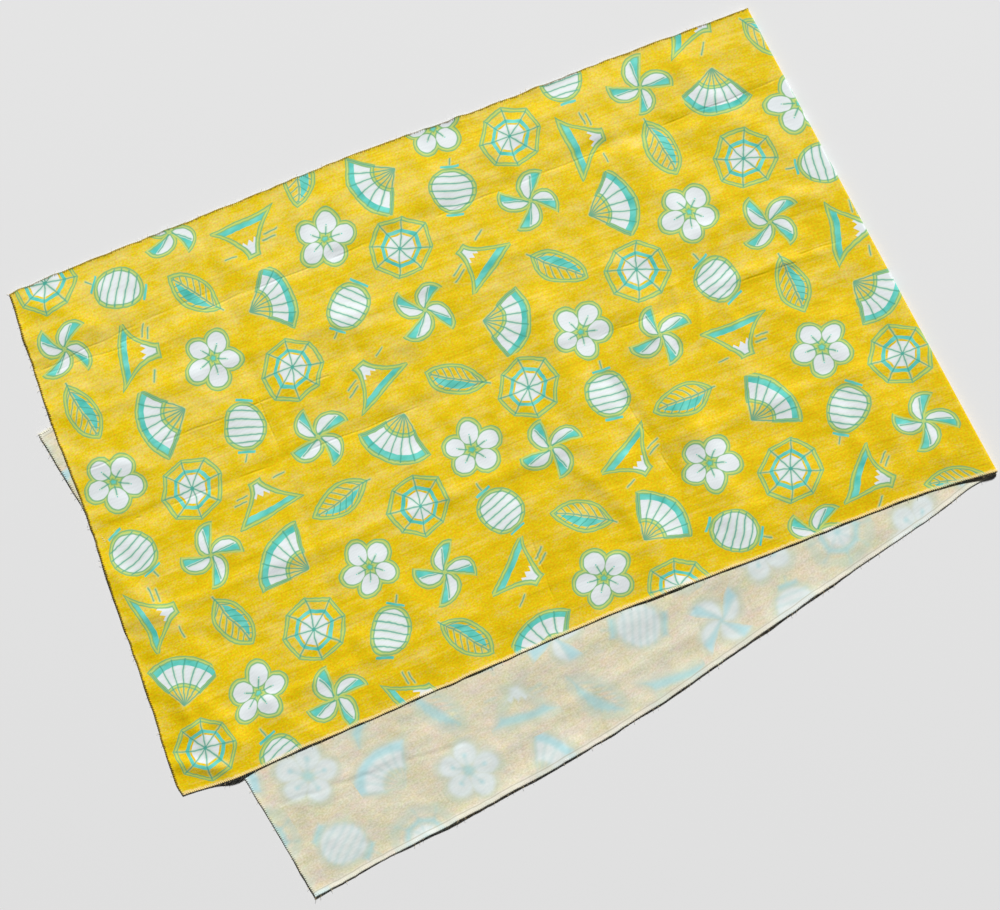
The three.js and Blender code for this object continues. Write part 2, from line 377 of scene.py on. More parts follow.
def clothHalf(name, first, last, materials):
    # A closed shell: printed side, reverse, and a rim all round
    outer, inner = surface[first:last], reverse[first:last]
    columns, rows = outer.shape[:2]
    index = np.arange(columns * rows).reshape(columns, rows)
    under = index + columns * rows
    a, b, c, d = index[:-1, :-1], index[1:, :-1], index[1:, 1:], index[:-1, 1:]
    printed = np.stack([a, b, c, d], axis=-1).reshape(-1, 4)
    plain = printed[:, ::-1] + columns * rows
    rims = [
        np.stack([under[:-1, 0], under[1:, 0], index[1:, 0], index[:-1, 0]], axis=-1),
        np.stack([index[:-1, -1], index[1:, -1], under[1:, -1], under[:-1, -1]], axis=-1),
        np.stack([index[0, :-1], index[0, 1:], under[0, 1:], under[0, :-1]], axis=-1),
        np.stack([under[-1, :-1], under[-1, 1:], index[-1, 1:], index[-1, :-1]], axis=-1),
    ]
    faces = np.concatenate([printed, plain, *rims])
    points = np.concatenate([outer.reshape(-1, 3), inner.reshape(-1, 3)]) * mm
    flat = np.stack([flatAlong[first:last], flatAcross[first:last]], axis=-1).reshape(-1, 2) * mm
    flat = np.concatenate([flat, flat])
    mesh = bpy.data.meshes.new(name)
    mesh.from_pydata(points.tolist(), [], faces.tolist())
    mapped = mesh.uv_layers.new(name="clothMap")
    corners = np.empty(len(mesh.loops), np.int32)
    mesh.loops.foreach_get("vertex_index", corners)
    mapped.data.foreach_set("uv", flat[corners].ravel().astype(np.float32))
    sides = np.zeros(len(faces), np.int32)
    sides[len(printed) :] = 1
    mesh.polygons.foreach_set("material_index", sides)
    mesh.polygons.foreach_set("use_smooth", np.ones(len(faces), bool))
    for material in materials:
        mesh.materials.append(material)
    mesh.update()
    piece = bpy.data.objects.new(name, mesh)
    bpy.context.collection.objects.link(piece)
    return piece


# Sharp lines that packing pressed in, finer than the mesh: x and y of both ends
pressedLines = {
    "printed": [
        (-258, 150.5, -200, 148), (-200, 151, 233, 155), (-252, 153, -140, 161), (-250, 86, -90, 86),
        (-135, 102, -134, 36), (-11, -52, -12, -98), (-230, 48, 128, 49), (70, 20, 85, -50),
        (150, 49.5, 200, 47.2), (205, 51, 243, 48.4),
    ],
    "reverse": [
        (-212, -146, -94, -152), (-66, -188, -60, -146), (-38, -184, -30, -140), (-12, -178, -10, -150),
        (62, -162, 66, -128), (96, -150, 99, -128),
    ],
    "width": {"printed": 1.1, "reverse": 2.6},
    "depth": 0.26,
    "stray": 2.0,
    "straySpan": 20.0,
    "ramp": (0.35, 0.6),
}

# The print: a toss of plain traditional motifs, as four distances in millimetres from the nearest
# double outline, thin line, teal patch and white patch, each below 0 inside
printing = {
    "stepAlong": 43.0,  # one motif in each cell
    "stepAcross": 44.0,
    "size": 0.92,  # of the motifs as drawn
    "jitter": 4.0,
    "wobble": 1.8,  # how far the hand-drawn lines stray
    "wobbleSpan": 22.0,
    "bleed": 0.25,  # and how far dye creeps along the threads
    "bleedSpan": 3.0,
    "farAway": 400.0,
}


def flatPlace(add):
    # Millimetres from the upper free end and from the near selvedge, on the flat cloth
    flat = add("UVMap", uv_map="clothMap")
    return add("VectorMath", flat, at={"Scale": 1000.0}, operation="SCALE")


def patches(add, place, along, across, detail=0.0, output="Fac"):
    # Noise in patches of this length and width
    place = add("VectorMath", place, (1 / along, 1 / across, 0), operation="MULTIPLY")
    return add("TexNoise", place, at={"Scale": 1.0, "Detail": detail}, output=output, noise_dimensions="2D")


def chain(add, kind, value, *steps):
    # One node after another, each with its operation and what goes in beside the value so far
    for operation, *others in steps:
        value = add(kind, value, *others, operation=operation)
    return value


def joinShapes(add, shapes, operation="MINIMUM"):
    # MINIMUM puts shapes together, MAXIMUM keeps what they share
    return chain(add, "Math", shapes[0], *((operation, shape) for shape in shapes[1:]))


def ovalDistance(add, point, centre, radii):
    scale = (1 / radii[0], 1 / radii[1], 0)
    shift = (-centre[0] / radii[0], -centre[1] / radii[1], 0)
    scaled = add("VectorMath", point, scale, shift, operation="MULTIPLY_ADD")
    size = add("VectorMath", scaled, output="Value", operation="LENGTH")
    return add("Math", size, min(radii), -min(radii), operation="MULTIPLY_ADD")


def strokeDistance(add, point, start, end):
    dx, dy = end[0] - start[0], end[1] - start[1]
    square = dx * dx + dy * dy
    fromStart = add("VectorMath", point, (*start, 0), operation="SUBTRACT")
    way = (dx / square, dy / square, 0)
    share = add("VectorMath", fromStart, way, output="Value", operation="DOT_PRODUCT")
    share = chain(add, "Math", share, ("MINIMUM", 1.0), ("MAXIMUM", 0.0))
    reached = add("VectorMath", (dx, dy, 0), at={"Scale": share}, operation="SCALE")
    return add("VectorMath", fromStart, reached, output="Value", operation="DISTANCE")


def beyondLine(add, point, direction, offset):
    along = add("VectorMath", point, (*direction, 0), output="Value", operation="DOT_PRODUCT")
    return add("Math", along, offset, operation="SUBTRACT")


def stripDistance(add, value, middle, half):
    return chain(add, "Math", value, ("SUBTRACT", middle), ("ABSOLUTE",), ("SUBTRACT", half))


def polar(add, point):
    # Angle from the x axis, and distance from the middle
    x, y = add("SeparateXYZ", point).node.outputs[:2]
    angle = add("Math", y, x, operation="ARCTAN2")
    return angle, add("VectorMath", point, output="Value", operation="LENGTH")


def fromPolar(add, angle, radius):
    x, y = (add("Math", angle, operation=operation) for operation in ("COSINE", "SINE"))
    return add("VectorMath", add("CombineXYZ", x, y), at={"Scale": radius}, operation="SCALE")


def foldAround(add, point, count):
    # The plane folded like paper into one of count equal wedges about the x axis
    angle, radius = polar(add, point)
    return fromPolar(add, add("Math", angle, math.pi / count, operation="PINGPONG"), radius)


# The motifs, drawn in millimetres about their middles
def blossom(add, point):
    petal = foldAround(add, point, 5)
    edge = ovalDistance(add, petal, (11.5, 0), (8.6, 7.6))
    heart = ovalDistance(add, point, (0, 0), (3.2, 3.2))
    stamen = strokeDistance(add, petal, (3, 0), (9, 0))
    tip = ovalDistance(add, petal, (10.4, 0), (1.5, 1.5))
    return {"outline": edge, "thin": stamen, "teal": joinShapes(add, [heart, tip]), "white": edge}


def foldingFan(add, point):
    fromPivot = add("VectorMath", point, (0, 16, 0), operation="ADD")
    x, y = add("SeparateXYZ", fromPivot).node.outputs[:2]
    angle = add("Math", x, y, operation="ARCTAN2")
    radius = add("VectorMath", fromPivot, output="Value", operation="LENGTH")
    beside = chain(add, "Math", angle, ("ABSOLUTE",), ("SUBTRACT", 0.84), ("MULTIPLY", radius))
    band = stripDistance(add, radius, 23.0, 8.6)
    leaf = joinShapes(add, [beside, band], "MAXIMUM")
    rib = chain(add, "Math", angle, ("PINGPONG", 0.14), ("MULTIPLY", radius))
    tip = add("Math", radius, 31.0, operation="SUBTRACT")
    ribs = joinShapes(add, [rib, beside, tip], "MAXIMUM")
    inside = add("Math", 25.5, radius, operation="SUBTRACT")
    return {"outline": leaf, "thin": ribs, "teal": joinShapes(add, [leaf, inside], "MAXIMUM"),
            "white": leaf}


def parasol(add, point):
    wedge = foldAround(add, point, 8)
    slant = math.pi / 8
    rim = beyondLine(add, wedge, (math.cos(slant), math.sin(slant)), 19.0)
    rib = add("SeparateXYZ", wedge, output=1)
    ring = stripDistance(add, rim, -7.5, 2.3)
    core = add("Math", rim, 10.0, operation="ADD")
    knob = ovalDistance(add, point, (0, 0), (2.4, 2.4))
    return {"outline": rim, "thin": joinShapes(add, [rib, rim], "MAXIMUM"),
            "teal": joinShapes(add, [ring, knob]), "white": core}


def teaLeaf(add, point):
    bows = [ovalDistance(add, point, (0, y), (25, 25)) for y in (-15.5, 15.5)]
    leaf = joinShapes(add, bows, "MAXIMUM")
    midrib = strokeDistance(add, point, (-17, 0), (23, 0))
    x, y = add("SeparateXYZ", point).node.outputs[:2]
    veins = chain(add, "Math", y, ("ABSOLUTE",), ("MULTIPLY_ADD", 0.9, x), ("PINGPONG", 2.7))
    within = add("Math", leaf, 1.6, operation="ADD")
    veins = joinShapes(add, [veins, within], "MAXIMUM")
    half = joinShapes(add, [within, y], "MAXIMUM")
    return {"outline": leaf, "thin": joinShapes(add, [midrib, veins]), "teal": half}


def paperLantern(add, point):
    body = ovalDistance(add, point, (0, 0), (13.5, 15))
    hoops = add("Math", add("SeparateXYZ", point, output=1), 2.6, operation="PINGPONG")
    hoops = joinShapes(add, [hoops, body], "MAXIMUM")
    aside, end = add("SeparateXYZ", add("VectorMath", point, operation="ABSOLUTE")).node.outputs[:2]
    capSide = add("Math", aside, 7.0, operation="SUBTRACT")
    capTop = stripDistance(add, end, 17.4, 2.0)
    caps = joinShapes(add, [capSide, capTop], "MAXIMUM")
    tassel = strokeDistance(add, point, (0, -19), (0, -24))
    return {"outline": body, "thin": joinShapes(add, [hoops, tassel]), "teal": caps, "white": body}


def mountain(add, point):
    x, y = add("SeparateXYZ", point).node.outputs[:2]
    aside = add("Math", x, operation="ABSOLUTE")
    flank = chain(add, "Math", y, ("MULTIPLY_ADD", -1 / 24, 0.5), ("MAXIMUM", 0.0), ("POWER", 1.6),
                  ("MULTIPLY_ADD", -18.0, -3.0), ("ADD", aside), ("MULTIPLY", 0.75))
    top = beyondLine(add, point, (0, 1), 12.0)
    foot = beyondLine(add, point, (0, -1), 12.0)
    hill = joinShapes(add, [flank, top, foot], "MAXIMUM")
    snow = chain(add, "Math", x, ("PINGPONG", 2.2), ("MULTIPLY_ADD", 1.5, 1.0), ("SUBTRACT", y),
                 ("MAXIMUM", hill))
    haze = joinShapes(add, [beyondLine(add, point, (0, 1), -6.0), hill], "MAXIMUM")
    clouds = [strokeDistance(add, point, start, end) for start, end in (
        ((-20, 3), (-11, 3)), ((-17, 6.5), (-9, 6.5)), ((12, 8), (19, 8)))]
    return {"outline": hill, "thin": joinShapes(add, clouds), "teal": haze, "white": snow}


def pinwheel(add, point):
    angle, radius = polar(add, point)
    blade = fromPolar(add, add("Math", angle, math.pi / 2, 0.0, operation="WRAP"), radius)
    curl = ovalDistance(add, blade, (10, 0.5), (10.5, 10.5))
    edge = beyondLine(add, blade, (0, -1), -0.6)
    sail = joinShapes(add, [curl, edge], "MAXIMUM")
    crease = strokeDistance(add, blade, (1.5, 1), (15, 6.5))
    flap = beyondLine(add, blade, (-0.38, 0.92), 0.6)
    flap = joinShapes(add, [flap, sail], "MAXIMUM")
    pin = ovalDistance(add, point, (0, 0), (1.8, 1.8))
    return {"outline": sail, "thin": crease, "teal": joinShapes(add, [flap, pin]), "white": sail}


def makePrint():
    channels = ("outline", "thin", "teal", "white")
    tree = bpy.data.node_groups.new("tenuguiPrint", "ShaderNodeTree")
    for name in channels:
        tree.interface.new_socket(name, in_out="OUTPUT", socket_type="NodeSocketFloat")
    p, add = printing, partial(addNode, tree)
    place = flatPlace(add)
    for stray, span in ((p["wobble"], p["wobbleSpan"]), (p["bleed"], p["bleedSpan"])):
        noise = add("TexNoise", place, at={"Scale": 1 / span, "Detail": 0.0},
                    output="Color", noise_dimensions="2D")
        noise = add("VectorMath", noise, (0.5, 0.5, 0.5), operation="SUBTRACT")
        place = add("VectorMath", noise, (2 * stray, 2 * stray, 0), place, operation="MULTIPLY_ADD")
    step = (p["stepAlong"], p["stepAcross"], 1)
    cell = add("VectorMath", place, (1 / step[0], 1 / step[1], 0), (20, 20, 0), operation="MULTIPLY_ADD")
    column = add("SeparateXYZ", cell)  # odd columns are half a step on
    stagger = chain(add, "Math", column, ("FLOOR",), ("MODULO", 2.0), ("MULTIPLY", 0.5))
    cell = add("VectorMath", cell, add("CombineXYZ", None, stagger), operation="ADD")
    number = add("VectorMath", cell, operation="FLOOR")
    middle = (0.5, 0.5, 0)
    local = chain(add, "VectorMath", cell, ("SUBTRACT", number), ("SUBTRACT", middle), ("MULTIPLY", step))
    chance = add("TexWhiteNoise", number, noise_dimensions="2D").node
    jitter = (p["jitter"], p["jitter"], 0)
    local = add("VectorMath", chance.outputs["Color"], jitter, local, operation="MULTIPLY_ADD")
    local = add("VectorMath", local, tuple(j / 2 for j in jitter), operation="SUBTRACT")
    angle = add("Math", chance.outputs["Value"], 2 * math.pi, operation="MULTIPLY")
    local = add("VectorRotate", local, at={"Angle": angle}, rotation_type="Z_AXIS")
    local = add("VectorMath", local, at={"Scale": 1 / p["size"]}, operation="SCALE")
    motifs = [blossom, mountain, parasol, teaLeaf, paperLantern, foldingFan, pinwheel]
    choice = add("VectorMath", number, (2, 3, 0), output="Value", operation="DOT_PRODUCT")
    choice = add("Math", choice, float(len(motifs)), operation="MODULO")
    nearest = {}
    for k, motif in enumerate(motifs):
        chosen = add("Math", choice, float(k), 0.5, operation="COMPARE")
        away = add("Math", chosen, -p["farAway"], p["farAway"], operation="MULTIPLY_ADD")
        point = add("VectorMath", local, add("CombineXYZ", away), operation="ADD")
        for name, distance in motif(add, point).items():
            if name == "outline":
                distance = add("Math", distance, operation="ABSOLUTE")
            nearest[name] = joinShapes(add, [nearest[name], distance]) if name in nearest else distance
    add("NodeGroupOutput", *(nearest[name] for name in channels))
    return tree


printTree = makePrint()
print("print:", len(printTree.nodes), "nodes")


def newMaterial(name):
    material = bpy.data.materials.new(name)
    material.use_nodes = True
    material.node_tree.nodes.clear()
    return material, partial(addNode, material.node_tree)


def finishMaterial(add, colour, bump, **settings):
    add("OutputMaterial", add("BsdfPrincipled", at={"Base Color": colour, "Normal": bump, **settings}))


def pressedRelief(add, side):
    # Height of the pressed lines, which stray a little, 0 away from them and where they fade out
    p = pressedLines
    place = add("TexCoord", output="Object")
    place = add("VectorMath", place, (1000, 1000, 0), operation="MULTIPLY")
    noise = add("TexNoise", place, at={"Scale": 1 / p["straySpan"], "Detail": 0.0},
                noise_dimensions="2D").node
    stray = (p["stray"], p["stray"], 0)
    place = add("VectorMath", noise.outputs["Color"], stray, place, operation="MULTIPLY_ADD")
    place = add("VectorMath", place, tuple(s / 2 for s in stray), operation="SUBTRACT")
    strokes = [strokeDistance(add, place, line[:2], line[2:]) for line in p[side]]
    line = add("MapRange", joinShapes(add, strokes), 0.0, p["width"][side], 1.0, 0.0,
               interpolation_type="SMOOTHSTEP")
    depth = add("MapRange", noise.outputs["Fac"], *p["ramp"], 0.0, -p["depth"])
    return add("Math", line, depth, operation="MULTIPLY")


relief = {
    "thread": 0.5,  # coarser than the real yarn, so that it shows
    "threadHeight": 0.03,
    "bump": 0.7,
    "yarns": {  # spans along and across, and depth
        "printed": ((7.0, 1.5, 0.07), (10.0, 8.0, 0.36)),
        "reverse": ((6.0, 1.5, 0.07), (8.0, 6.0, 0.40)),
    },
}


def clothRelief(add, place, side):
    # Plain weave, thick and thin yarns, and the fine crumple between the modelled folds
    parts = add("SeparateXYZ", place).node.outputs
    waves = [add("Math", part, math.pi / relief["thread"], operation="MULTIPLY") for part in parts[:2]]
    height = add("Math", *(add("Math", wave, operation="SINE") for wave in waves), operation="MULTIPLY")
    height = add("Math", height, relief["threadHeight"], pressedRelief(add, side), operation="MULTIPLY_ADD")
    for along, wide, depth in relief["yarns"][side]:
        height = add("Math", patches(add, place, along, wide), depth, height, operation="MULTIPLY_ADD")
    return add("Bump", at={"Strength": relief["bump"], "Distance": mm, "Height": height})


def unevenDye(add, place, hexCode, rows):
    # Yarns take the dye unevenly: rows of spans along and across in mm, how far red, green and blue stray,
    # and Fac where they stray together or Color where they stray apart
    strays = [row[2] for row in rows]
    colour = tuple(c - sum(parts) / 2 for c, parts in zip(linear(hexCode), zip(*strays)))
    for along, wide, stray, way in rows:
        spot = patches(add, place, along, wide, 1.0, way)
        colour = add("VectorMath", spot, stray, colour, operation="MULTIPLY_ADD")
    return colour


def paintOver(add, colour, mask, paint):
    return add("Mix", at={0: mask, 6: colour, 7: paint}, output=2, data_type="RGBA")


def paintLayers(add, colour, layers):
    # Rows of paint, distance, where it starts, where it is full and how much it covers
    for paint, distance, start, full, share in layers:
        mask = add("MapRange", distance, start, full, 0.0, share, interpolation_type="SMOOTHSTEP")
        colour = paintOver(add, colour, mask, paint)
    return colour


streaks = {
    "along": 55.0,
    "across": 1.5,
    "share": 0.26,  # how much they cover
    "paints": (("#c09402", 0.70, 0.84), ("#f6d75e", 0.30, 0.16)),  # where each starts and is full
}


def drawnYarns(add, colour, place):
    # Long thin streaks, where a few warp yarns lie tighter or looser than the others
    streak = patches(add, place, streaks["along"], streaks["across"])
    for hexCode, start, full in streaks["paints"]:
        mask = add("MapRange", streak, start, full, 0.0, streaks["share"])
        colour = paintOver(add, colour, mask, linear(hexCode))
    return colour


dyedCotton = {
    "ground": "#e5c405",
    # painted glare and shade: the ground is made paler and bluer towards the far selvedge, on the lamp's
    # side, and darker towards the fold
    "paintedLightWay": (-1 / 1600, 1 / 330, 0),  # for each mm along and across
    "ramp": (0.02, 0.05, 0.05),  # of red, green and blue
    "nearRag": 1.6,  # mm that the near edge's tones stray
    "bare": (0.7, 1.5, 0.5),  # mm from the edge where full and where gone, and how much it covers
    "thread": (2.0, 4.0, 0.95),
    # far selvedge and free end: a painted dark line, partly gathered dye and partly painted shade of the
    # rolled edge
    "farRag": 1.2,
    "dyeAndShadeLine": (0.0, 0.5, 0.75),
}


def printedCotton():
    # Bleached plain-weave cotton, screen printed with reactive dye: nearly matt, with a slight glare
    material, add = newMaterial("printedCotton")
    place = flatPlace(add)
    motifs = add("Group", node_tree=printTree).node.outputs
    c = dyedCotton
    colour = unevenDye(add, place, c["ground"], (
        (1.4, 1.1, (0.34, 0.36, 0.18), "Color"),
        (13.0, 3.0, (0.08, 0.09, 0.12), "Fac"),
        (10.0, 7.0, (0.05, 0.10, 0.17), "Fac"),
        (38.0, 18.0, (0.05, 0.10, 0.17), "Fac"),
    ))
    colour = drawnYarns(add, colour, place)
    # Painted glare and shade: paler and bluer towards the far selvedge, on the lamp's side, and darker
    # towards the fold
    ramp = add("VectorMath", place, c["paintedLightWay"], output="Value", operation="DOT_PRODUCT")
    ramp = add("VectorMath", c["ramp"], at={"Scale": ramp}, operation="SCALE")
    colour = chain(add, "VectorMath", colour, ("ADD", ramp), ("MAXIMUM", (0, 0, 0)))
    teal = unevenDye(add, place, "#66cdbf", ((9.0, 7.0, (0.20, 0.34, 0.30), "Fac"),))
    pair = chain(add, "Math", motifs["outline"], ("SUBTRACT", 1.0), ("ABSOLUTE",))
    colour = paintLayers(add, colour, (
        (linear("#e3e9eb"), motifs["white"], 0.15, -0.35, 1.0),
        (linear("#bfe0b0"), motifs["thin"], 1.7, 0.8, 0.35),
        (teal, motifs["teal"], -0.9, -1.3, 1.0),
        (linear("#bcd369"), motifs["outline"], 1.5, 0.95, 0.85),
        (linear("#7eb77a"), pair, 0.8, 0.0, 1.0),
        (linear("#4fa892"), motifs["thin"], 0.8, 0.1, 0.85),
    ))
    # Hems: the thread and the near selvedge take less of the dye; along the far selvedge and the free end a
    # dark line is painted, partly dye gathered in the rolled edge and partly its painted shade
    wound = add("Attribute", output="Fac", attribute_name="wound")
    patchy = add("TexNoise", place, at={"Scale": 0.7, "Detail": 0.0}, noise_dimensions="2D")
    along, across = add("SeparateXYZ", place).node.outputs[:2]
    near = add("Math", patchy, -c["nearRag"], across, operation="MULTIPLY_ADD")
    bare, thread = (add("MapRange", near, *c[name], 0.0) for name in ("bare", "thread"))
    thread = add("Math", thread, wound, operation="MULTIPLY")
    bare = add("Math", bare, thread, operation="MAXIMUM")
    colour = paintOver(add, colour, bare, linear("#f0dcaa"))
    # Painted shade with some gathered dye: a dark line along the far selvedge and the free end
    far = add("Math", cloth["width"], across, operation="SUBTRACT")
    far = add("Math", far, along, operation="MINIMUM")
    far = add("Math", patchy, -c["farRag"], far, operation="MULTIPLY_ADD")
    dyeAndShadeLine = add("MapRange", far, *c["dyeAndShadeLine"], 0.0)
    colour = paintOver(add, colour, dyeAndShadeLine, linear("#6f5a1c"))
    bump = clothRelief(add, place, "printed")
    finishMaterial(add, colour, bump, Roughness=0.58,
                   **{"Specular IOR Level": 0.16, "Sheen Weight": 0.03, "Sheen Roughness": 0.5})
    return material


def reverseCotton():
    # The same cotton's back: undyed cream yarn, with the print showing through as soft pale patches
    material, add = newMaterial("reverseCotton")
    place = flatPlace(add)
    motifs = add("Group", node_tree=printTree).node.outputs
    colour = unevenDye(add, place, "#dad2b7", (
        (1.3, 1.0, (0.28, 0.27, 0.28), "Fac"),
        (4.5, 2.2, (0.10, 0.08, 0.11), "Color"),
        (14.0, 9.0, (0.13, 0.07, 0.14), "Color"),
        (30.0, 20.0, (0.19, 0.16, 0.19), "Fac"),
    ))
    colour = paintLayers(add, colour, (
        (linear("#bfd0c0"), motifs["outline"], 6.0, 0.5, 0.5),
        (linear("#dbe6ea"), motifs["white"], 1.8, -2.4, 0.75),
        (linear("#a2d3d8"), motifs["teal"], 1.8, -2.6, 0.7),
        (linear("#a9ccca"), motifs["thin"], 2.2, 0.0, 0.3),
    ))
    half = cloth["width"] / 2
    selvedge = chain(add, "Math", add("SeparateXYZ", place, output=1), ("SUBTRACT", half), ("ABSOLUTE",),
                     ("MULTIPLY_ADD", -1.0, half))
    pale = add("MapRange", selvedge, 2.4, 4.2, 0.5, 0.0)
    colour = paintOver(add, colour, pale, linear("#eaebe2"))
    yarn = chain(add, "Math", selvedge, ("COMPARE", 2.9, 0.35), ("MULTIPLY", 0.45))  # a drawn-in one
    colour = paintOver(add, colour, yarn, linear("#a5a08a"))
    bump = clothRelief(add, place, "reverse")
    finishMaterial(add, colour, bump, Roughness=0.8,
                   **{"Specular IOR Level": 0.3, "Sheen Weight": 0.1, "Sheen Roughness": 0.5})
    return material


def hemThread():
    # Spun cotton sewing thread, two ply: matt, with a fine twist
    material, add = newMaterial("spunCottonThread")
    place = add("TexCoord", output="Object")
    fuzz = add("TexNoise", place, at={"Scale": 1 / (0.4 * mm), "Detail": 2.0})
    tone = add("MapRange", fuzz, 0.3, 0.7, 0.85, 1.1)
    colour = add("VectorMath", linear("#f0dcae")[:3], at={"Scale": tone}, operation="SCALE")
    bump = add("Bump", at={"Strength": 0.4, "Distance": 0.1 * mm, "Height": fuzz})
    finishMaterial(add, colour, bump, Roughness=0.9, **{"Specular IOR Level": 0.2})
    return material


printed, plainSide, thread = printedCotton(), reverseCotton(), hemThread()
print("materials ready")

upperHalf = clothHalf("upper_half", 0, halfWay + 1, [printed, plainSide])
lowerHalf = clothHalf("lower_half", halfWay, surface.shape[0], [printed, plainSide])
print("cloth ready:", len(upperHalf.data.polygons) + len(lowerHalf.data.polygons), "faces")

# Hems: a thread overcast close round all four edges, and loose ends of yarn that stick out of them
threadRadius = 0.18
stitches = {
    "Pitch": 1.3 * mm,
    "Reach": 1.6 * mm,  # how far in from the edge the thread goes
    "Overhang": 0.15 * mm,
    "Half Height": ((cloth["thickness"] + cloth["lip"]) / 2 + threadRadius) * mm,
    "Thread Radius": threadRadius * mm,
    "Points Per Turn": 6.0,
}
yarnEnds = {"Spacing": 3.4 * mm, "Length": 1.5 * mm, "Radius": 0.075 * mm}
yarnChance = {
    "tilt": ((-0.9, -0.9, -0.1), (0.9, 0.9, 0.5)),
    "size": (0.35, 1.3),
    "share": 0.55,  # of the places that have one
    "bend": ((-0.3, 0, 0), (0.5, 0.25, 0.1), (1, -0.15, 0)),
}
innerRow = 4  # the grid row that shows which way is inwards


def edgePath(name, last, free, up):
    # Lines along a half's two selvedges and free end, whose points keep the ways inward and up, and their
    # place and way inward on the flat cloth
    places = [((last, 0), (last, innerRow)), ((last, -1), (last, -1 - innerRow)),
              (free, innerRow if free == 0 else -1 - innerRow)]
    middle, flat = (surface + reverse) / 2, np.dstack([flatAlong, flatAcross, 0 * flatAlong]) * mm
    values = {"inward": [], "up": [], "flat": [], "flatInward": []}
    points, links = [], []
    for edge, inside in places:
        start = sum(map(len, points))
        points.append(middle[edge])
        for label, field in (("inward", middle), ("flatInward", flat)):
            towards = field[inside] - field[edge]
            values[label].append(towards / np.linalg.norm(towards, axis=1, keepdims=True))
        values["up"].append(up * normals[edge])
        values["flat"].append(flat[edge])
        links += [(start + i, start + i + 1) for i in range(len(points[-1]) - 1)]
    mesh = bpy.data.meshes.new(name)
    mesh.from_pydata((np.concatenate(points) * mm).tolist(), links, [])
    for label, rows in values.items():
        layer = mesh.attributes.new(label, "FLOAT_VECTOR", "POINT")
        layer.data.foreach_set("vector", np.concatenate(rows).astype(np.float32).ravel())
    path = bpy.data.objects.new(name, mesh)
    bpy.context.collection.objects.link(path)
    return path


def growthTree(name, sizes):
    # An empty tree that takes a path and named sizes
    tree = bpy.data.node_groups.new(name, "GeometryNodeTree")
    kinds = [("Geometry", "Geometry"), *((size, "Float") for size in sizes), ("Material", "Material")]
    for label, kind in kinds:
        tree.interface.new_socket(label, in_out="INPUT", socket_type="NodeSocket" + kind)
    tree.interface.new_socket("Geometry", in_out="OUTPUT", socket_type="NodeSocketGeometry")
    add = partial(addNode, tree)
    return tree, add, add("NodeGroupInput").node.outputs


def finishTree(add, shape, material):
    shape = add("GeometryNodeRealizeInstances", shape)
    shape = add("GeometryNodeSetMaterial", shape, at={"Material": material})
    add("NodeGroupOutput", shape)


def overcastTree():
    # A thread wound round the edge as a flat coil, that takes its colours from the cloth under it
    tree, add, given = growthTree("overcastEdge", stitches)
    curve = add("GeometryNodeMeshToCurve", given["Geometry"])
    spacing = add("Math", given["Pitch"], given["Points Per Turn"], operation="DIVIDE")
    curve = add("GeometryNodeResampleCurve", curve, at={"Length": spacing}, mode="LENGTH")
    length = add("GeometryNodeSplineParameter", output="Length")
    turn = chain(add, "Math", length, ("DIVIDE", given["Pitch"]), ("MULTIPLY", 2 * math.pi))
    uneven = add("TexNoise", at={"Scale": 1 / (2.5 * mm)}, noise_dimensions="3D")
    reach = add("MapRange", uneven, 0.3, 0.7, 0.8, 1.15)
    reach = add("Math", reach, given["Reach"], operation="MULTIPLY")
    swing = chain(add, "Math", turn, ("COSINE",), ("MULTIPLY_ADD", 0.5, 0.5), ("MULTIPLY", reach),
                  ("SUBTRACT", given["Overhang"]))
    lift = chain(add, "Math", turn, ("SINE",), ("MAXIMUM", -0.55),  # it lies flat underneath
                 ("MULTIPLY", given["Half Height"]))
    inward, up, flat, flatInward = (
        add("GeometryNodeInputNamedAttribute", label, data_type="FLOAT_VECTOR")
        for label in ("inward", "up", "flat", "flatInward")
    )
    shift = add("VectorMath", inward, at={"Scale": swing}, operation="SCALE")
    upwards = add("VectorMath", up, at={"Scale": lift}, operation="SCALE")
    shift = add("VectorMath", shift, upwards, operation="ADD")
    under = add("VectorMath", flatInward, at={"Scale": swing}, operation="SCALE")
    under = add("VectorMath", under, flat, operation="ADD")
    curve = add("GeometryNodeStoreNamedAttribute", curve, at={"Name": "under", "Value": under},
                data_type="FLOAT_VECTOR")
    curve = add("GeometryNodeSetPosition", curve, at={"Offset": shift})
    profile = add("GeometryNodeCurvePrimitiveCircle",
                  at={"Resolution": 5, "Radius": given["Thread Radius"]})
    wound = add("GeometryNodeCurveToMesh", curve, profile, at={"Fill Caps": True})
    under = add("GeometryNodeInputNamedAttribute", "under", data_type="FLOAT_VECTOR")
    wound = add("GeometryNodeStoreNamedAttribute", wound, data_type="FLOAT2", domain="CORNER",
                at={"Name": "clothMap", "Value": under})
    wound = add("GeometryNodeStoreNamedAttribute", wound, data_type="FLOAT",
                at={"Name": "wound", "Value": 1.0})
    finishTree(add, wound, given["Material"])
    return tree


